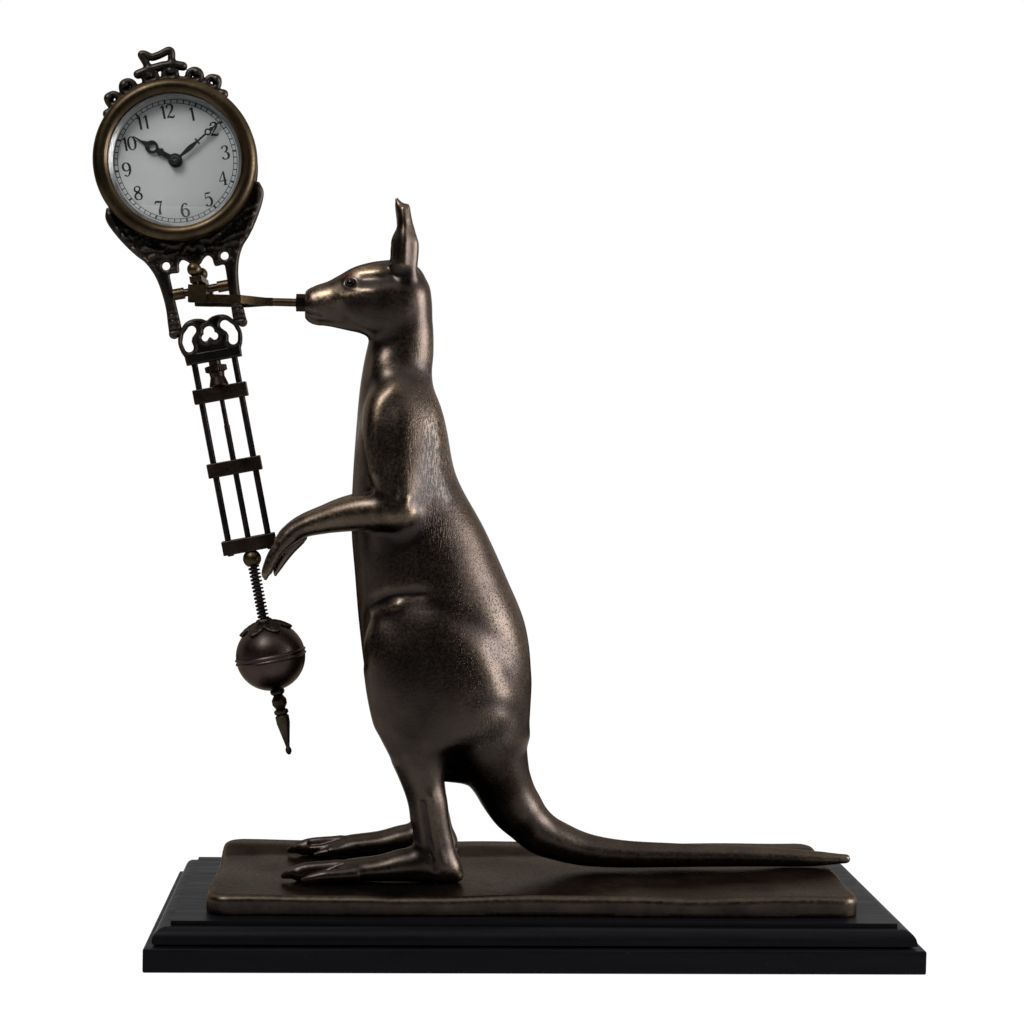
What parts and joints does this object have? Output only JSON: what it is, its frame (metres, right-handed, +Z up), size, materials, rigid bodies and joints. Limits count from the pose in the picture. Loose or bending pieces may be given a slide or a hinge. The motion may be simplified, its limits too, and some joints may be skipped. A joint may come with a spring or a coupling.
{
  "type": "mystery clock",
  "caption": "Swinging mystery clock: a standing kangaroo on a moulded base holds a fork at its nose, in which a clock and ball bob swing as one pendulum.",
  "frame": {"origin": "centre of the base's felt underside, on the surface it stands on", "axes": "+Z up, the animal faces -X with its tail along +X, and the dial faces -Y"},
  "size_m": [0.3525, 0.135, 0.3827],
  "materials": {
    "lacquered_wood": "black gloss lacquer",
    "felt": "felt",
    "steel": "plain",
    "cast_bronze": "dark brown patina",
    "eye_glass": "gloss",
    "black_bronze": "near black patina",
    "antique_brass": "aged satin",
    "copper_brown": "burnished",
    "movement_brass": "plain",
    "crystal_glass": "clear",
    "silvered_ring": "silvered",
    "dial_paint": "matt pale grey",
    "hand_black": "black"
  },
  "bodies": {
    "stand": {"wood_base": "lacquered_wood", "felt_pad": "felt", "base_screws": "steel", "ground_slab": "cast_bronze", "foot_bolts": "steel", "torso": "cast_bronze", "head": "cast_bronze", "eyes": "eye_glass", "left_ear": "cast_bronze", "right_ear": "cast_bronze", "left_arm": "cast_bronze", "right_arm": "cast_bronze", "left_leg": "cast_bronze", "right_leg": "cast_bronze", "tail": "cast_bronze", "hanger_collar": "black_bronze", "hanger_fork": "antique_brass"},
    "minute": {"minute_hand": "hand_black", "hand_nut": "hand_black", "cannon_pinion": "movement_brass", "centre_wheel": "movement_brass", "setting_knob": "antique_brass"},
    "hour": {"hour_hand": "hand_black", "hour_wheel": "movement_brass"},
    "motion_wheel": {"minute_wheel": "movement_brass"},
    "barrel": {"mainspring_barrel": "movement_brass"},
    "third": {"third_wheel": "movement_brass"},
    "escape": {"escape_wheel": "movement_brass"},
    "impulse": {"impulse_pendulum": "movement_brass"},
    "key": {"winding_key": "antique_brass"},
    "bob": {"calyx": "black_bronze", "ball": "copper_brown"},
    "rating_nut": {"finial": "antique_brass"},
    "pendulum": {"cover_screws": "steel", "rating_spring": "steel", "clock_frame": "black_bronze", "crest": "black_bronze", "scroll_plate": "black_bronze", "cross_bar": "black_bronze", "left_rod": "black_bronze", "right_rod": "black_bronze", "upper_bar": "black_bronze", "middle_bar": "black_bronze", "lower_bar": "black_bronze", "urn_nut": "black_bronze", "centre_rod": "black_bronze", "bezel": "antique_brass", "case_drum": "antique_brass", "back_cover": "antique_brass", "bead_nut": "antique_brass", "bar_bushes": "antique_brass", "pivot_screws": "antique_brass", "suspension_yoke": "antique_brass", "front_plate": "movement_brass", "back_plate": "movement_brass", "pillars": "movement_brass", "crystal": "crystal_glass", "sight_ring": "silvered_ring", "dial": "dial_paint"}
  },
  "joints": [
    {"name": "pendulum_swing", "type": "hinge", "parent": "stand", "child": "pendulum", "pos_m": [-0.1468, 0, 0.2786], "axis": [0, 1, 0], "range_deg": [-3.5, 26.5]},
    {"name": "minute_turn", "type": "hinge", "parent": "pendulum", "child": "minute", "pos_m": [-0.15786, -0.00265, 0.33299], "axis": [0, 1, 0], "continuous": true},
    {"name": "hour_turn", "type": "hinge", "parent": "pendulum", "child": "hour", "pos_m": [-0.15786, -0.00265, 0.33299], "axis": [0, 1, 0], "continuous": true},
    {"name": "motion_wheel_turn", "type": "hinge", "parent": "pendulum", "child": "motion_wheel", "pos_m": [-0.16605, -0.00265, 0.32797], "axis": [0, 1, 0], "continuous": true},
    {"name": "barrel_turn", "type": "hinge", "parent": "pendulum", "child": "barrel", "pos_m": [-0.14603, -0.00265, 0.32357], "axis": [0, 1, 0], "continuous": true},
    {"name": "third_turn", "type": "hinge", "parent": "pendulum", "child": "third", "pos_m": [-0.16502, -0.00265, 0.34107], "axis": [0, 1, 0], "continuous": true},
    {"name": "escape_turn", "type": "hinge", "parent": "pendulum", "child": "escape", "pos_m": [-0.17441, -0.00265, 0.34422], "axis": [0, 1, 0], "continuous": true},
    {"name": "impulse_swing", "type": "hinge", "parent": "pendulum", "child": "impulse", "pos_m": [-0.17612, -0.00265, 0.35264], "axis": [0, 1, 0], "range_deg": [-4, 4]},
    {"name": "key_wind", "type": "hinge", "parent": "pendulum", "child": "key", "pos_m": [-0.14603, -0.00265, 0.32357], "axis": [0, 1, 0], "range_deg": [0, 1440]},
    {"name": "bob_slide", "type": "slide", "parent": "pendulum", "child": "bob", "axis": [-0.1994, 0, 0.9799], "range_m": [-0.0014, 0.0014], "deforming": ["rating_spring"]},
    {"name": "rating_nut_turn", "type": "hinge", "parent": "bob", "child": "rating_nut", "pos_m": [-0.11466, 0, 0.12064], "axis": [-0.1994, 0, 0.9799], "range_deg": [-722, 722]}
  ],
  "couplings": [
    {"joint": "hour_turn", "follows": "minute_turn", "ratio": 0.083333},
    {"joint": "motion_wheel_turn", "follows": "minute_turn", "ratio": -0.33333},
    {"joint": "barrel_turn", "follows": "minute_turn", "ratio": -0.16667},
    {"joint": "third_turn", "follows": "minute_turn", "ratio": -8},
    {"joint": "escape_turn", "follows": "minute_turn", "ratio": 64},
    {"joint": "rating_nut_turn", "follows": "bob_slide", "rad_per_m": 8976}
  ]
}
